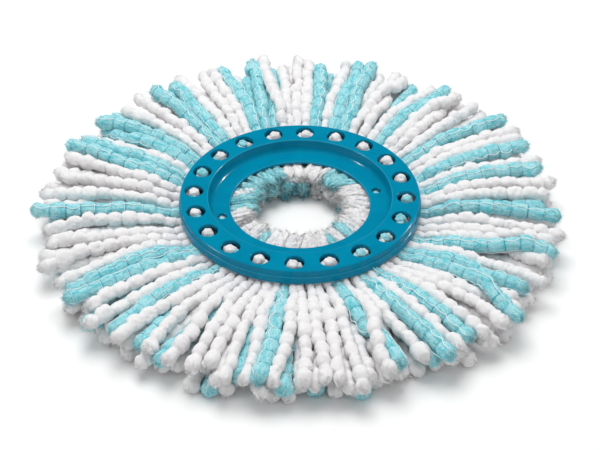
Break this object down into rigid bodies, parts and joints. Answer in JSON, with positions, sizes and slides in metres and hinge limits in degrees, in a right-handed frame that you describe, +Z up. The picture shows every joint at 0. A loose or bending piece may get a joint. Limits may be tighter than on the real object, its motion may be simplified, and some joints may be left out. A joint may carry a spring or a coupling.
{
  "type": "spin mop head",
  "caption": "Round spin mop replacement head: stepped plastic ring with yarn windows round its rim and bundles of beaded microfibre yarn clamped under it, spread flat.",
  "frame": {"origin": "on the floor under the ring's centre, which is the middle of the head's base", "axes": "+Z up through the ring's centre; +X through one of the two small locating holes in the flange"},
  "size_m": [0.33, 0.33, 0.027],
  "materials": {
    "ring_plastic": "satin moulded polypropylene, teal",
    "clamp_plastic": "satin moulded polypropylene, teal, seen only from below",
    "white_yarn": "soft off-white microfibre chenille, tied into beads",
    "turquoise_yarn": "soft two-tone turquoise microfibre chenille",
    "net_thread": "thin white crochet thread netted round the turquoise yarn"
  },
  "bodies": {
    "ring": {"carrier_ring": "ring_plastic", "clamp_ring": "clamp_plastic", "yarn_root_01": "white_yarn", "yarn_root_02": "white_yarn", "yarn_root_03": "white_yarn", "yarn_root_04": "white_yarn", "yarn_root_05": "white_yarn", "yarn_root_06": "white_yarn", "yarn_root_07": "white_yarn", "yarn_root_08": "white_yarn", "yarn_root_09": "white_yarn", "yarn_root_10": "white_yarn", "yarn_root_11": "white_yarn", "yarn_root_12": "white_yarn", "yarn_root_13": "white_yarn", "yarn_root_14": "white_yarn", "yarn_root_15": "white_yarn", "yarn_root_16": "white_yarn", "yarn_root_17": "white_yarn", "yarn_root_18": "white_yarn", "yarn_root_19": "white_yarn", "yarn_root_20": "white_yarn"},
    "bundle_01": {"yarn_strands_01": "turquoise_yarn"},
    "bundle_02": {"yarn_strands_02": "white_yarn"},
    "bundle_03": {"yarn_strands_03": "white_yarn"},
    "bundle_04": {"yarn_strands_04": "turquoise_yarn"},
    "bundle_05": {"yarn_strands_05": "white_yarn"},
    "bundle_06": {"yarn_strands_06": "turquoise_yarn"},
    "bundle_07": {"yarn_strands_07": "turquoise_yarn"},
    "bundle_08": {"yarn_strands_08": "turquoise_yarn"},
    "bundle_09": {"yarn_strands_09": "turquoise_yarn"},
    "bundle_10": {"yarn_strands_10": "white_yarn"},
    "bundle_11": {"yarn_strands_11": "white_yarn"},
    "bundle_12": {"yarn_strands_12": "turquoise_yarn"},
    "bundle_13": {"yarn_strands_13": "white_yarn"},
    "bundle_14": {"yarn_strands_14": "white_yarn"},
    "bundle_15": {"yarn_strands_15": "white_yarn"},
    "bundle_16": {"yarn_strands_16": "white_yarn"},
    "bundle_17": {"yarn_strands_17": "white_yarn"},
    "bundle_18": {"yarn_strands_18": "turquoise_yarn"},
    "bundle_19": {"yarn_strands_19": "white_yarn"},
    "bundle_20": {"yarn_strands_20": "white_yarn"}
  },
  "joints": [
    {"name": "yarn_bend_01", "type": "hinge", "parent": "ring", "child": "bundle_01", "pos_m": [0.0765, 0, 0.011], "axis": [0, -1, 0], "range_deg": [-60, 30]},
    {"name": "yarn_bend_02", "type": "hinge", "parent": "ring", "child": "bundle_02", "pos_m": [0.07276, 0.02364, 0.011], "axis": [0.309, -0.9511, 0], "range_deg": [-60, 30]},
    {"name": "yarn_bend_03", "type": "hinge", "parent": "ring", "child": "bundle_03", "pos_m": [0.06189, 0.04497, 0.011], "axis": [0.5878, -0.809, 0], "range_deg": [-60, 30]},
    {"name": "yarn_bend_04", "type": "hinge", "parent": "ring", "child": "bundle_04", "pos_m": [0.04497, 0.06189, 0.011], "axis": [0.809, -0.5878, 0], "range_deg": [-60, 30]},
    {"name": "yarn_bend_05", "type": "hinge", "parent": "ring", "child": "bundle_05", "pos_m": [0.02364, 0.07276, 0.011], "axis": [0.9511, -0.309, 0], "range_deg": [-60, 30]},
    {"name": "yarn_bend_06", "type": "hinge", "parent": "ring", "child": "bundle_06", "pos_m": [0, 0.0765, 0.011], "axis": [1, 0, 0], "range_deg": [-60, 30]},
    {"name": "yarn_bend_07", "type": "hinge", "parent": "ring", "child": "bundle_07", "pos_m": [-0.02364, 0.07276, 0.011], "axis": [0.9511, 0.309, 0], "range_deg": [-60, 30]},
    {"name": "yarn_bend_08", "type": "hinge", "parent": "ring", "child": "bundle_08", "pos_m": [-0.04497, 0.06189, 0.011], "axis": [0.809, 0.5878, 0], "range_deg": [-60, 30]},
    {"name": "yarn_bend_09", "type": "hinge", "parent": "ring", "child": "bundle_09", "pos_m": [-0.06189, 0.04497, 0.011], "axis": [0.5878, 0.809, 0], "range_deg": [-60, 30]},
    {"name": "yarn_bend_10", "type": "hinge", "parent": "ring", "child": "bundle_10", "pos_m": [-0.07276, 0.02364, 0.011], "axis": [0.309, 0.9511, 0], "range_deg": [-60, 30]},
    {"name": "yarn_bend_11", "type": "hinge", "parent": "ring", "child": "bundle_11", "pos_m": [-0.0765, 0, 0.011], "axis": [0, 1, 0], "range_deg": [-60, 30]},
    {"name": "yarn_bend_12", "type": "hinge", "parent": "ring", "child": "bundle_12", "pos_m": [-0.07276, -0.02364, 0.011], "axis": [-0.309, 0.9511, 0], "range_deg": [-60, 30]},
    {"name": "yarn_bend_13", "type": "hinge", "parent": "ring", "child": "bundle_13", "pos_m": [-0.06189, -0.04497, 0.011], "axis": [-0.5878, 0.809, 0], "range_deg": [-60, 30]},
    {"name": "yarn_bend_14", "type": "hinge", "parent": "ring", "child": "bundle_14", "pos_m": [-0.04497, -0.06189, 0.011], "axis": [-0.809, 0.5878, 0], "range_deg": [-60, 30]},
    {"name": "yarn_bend_15", "type": "hinge", "parent": "ring", "child": "bundle_15", "pos_m": [-0.02364, -0.07276, 0.011], "axis": [-0.9511, 0.309, 0], "range_deg": [-60, 30]},
    {"name": "yarn_bend_16", "type": "hinge", "parent": "ring", "child": "bundle_16", "pos_m": [0, -0.0765, 0.011], "axis": [-1, 0, 0], "range_deg": [-60, 30]},
    {"name": "yarn_bend_17", "type": "hinge", "parent": "ring", "child": "bundle_17", "pos_m": [0.02364, -0.07276, 0.011], "axis": [-0.9511, -0.309, 0], "range_deg": [-60, 30]},
    {"name": "yarn_bend_18", "type": "hinge", "parent": "ring", "child": "bundle_18", "pos_m": [0.04497, -0.06189, 0.011], "axis": [-0.809, -0.5878, 0], "range_deg": [-60, 30]},
    {"name": "yarn_bend_19", "type": "hinge", "parent": "ring", "child": "bundle_19", "pos_m": [0.06189, -0.04497, 0.011], "axis": [-0.5878, -0.809, 0], "range_deg": [-60, 30]},
    {"name": "yarn_bend_20", "type": "hinge", "parent": "ring", "child": "bundle_20", "pos_m": [0.07276, -0.02364, 0.011], "axis": [-0.309, -0.9511, 0], "range_deg": [-60, 30]}
  ]
}
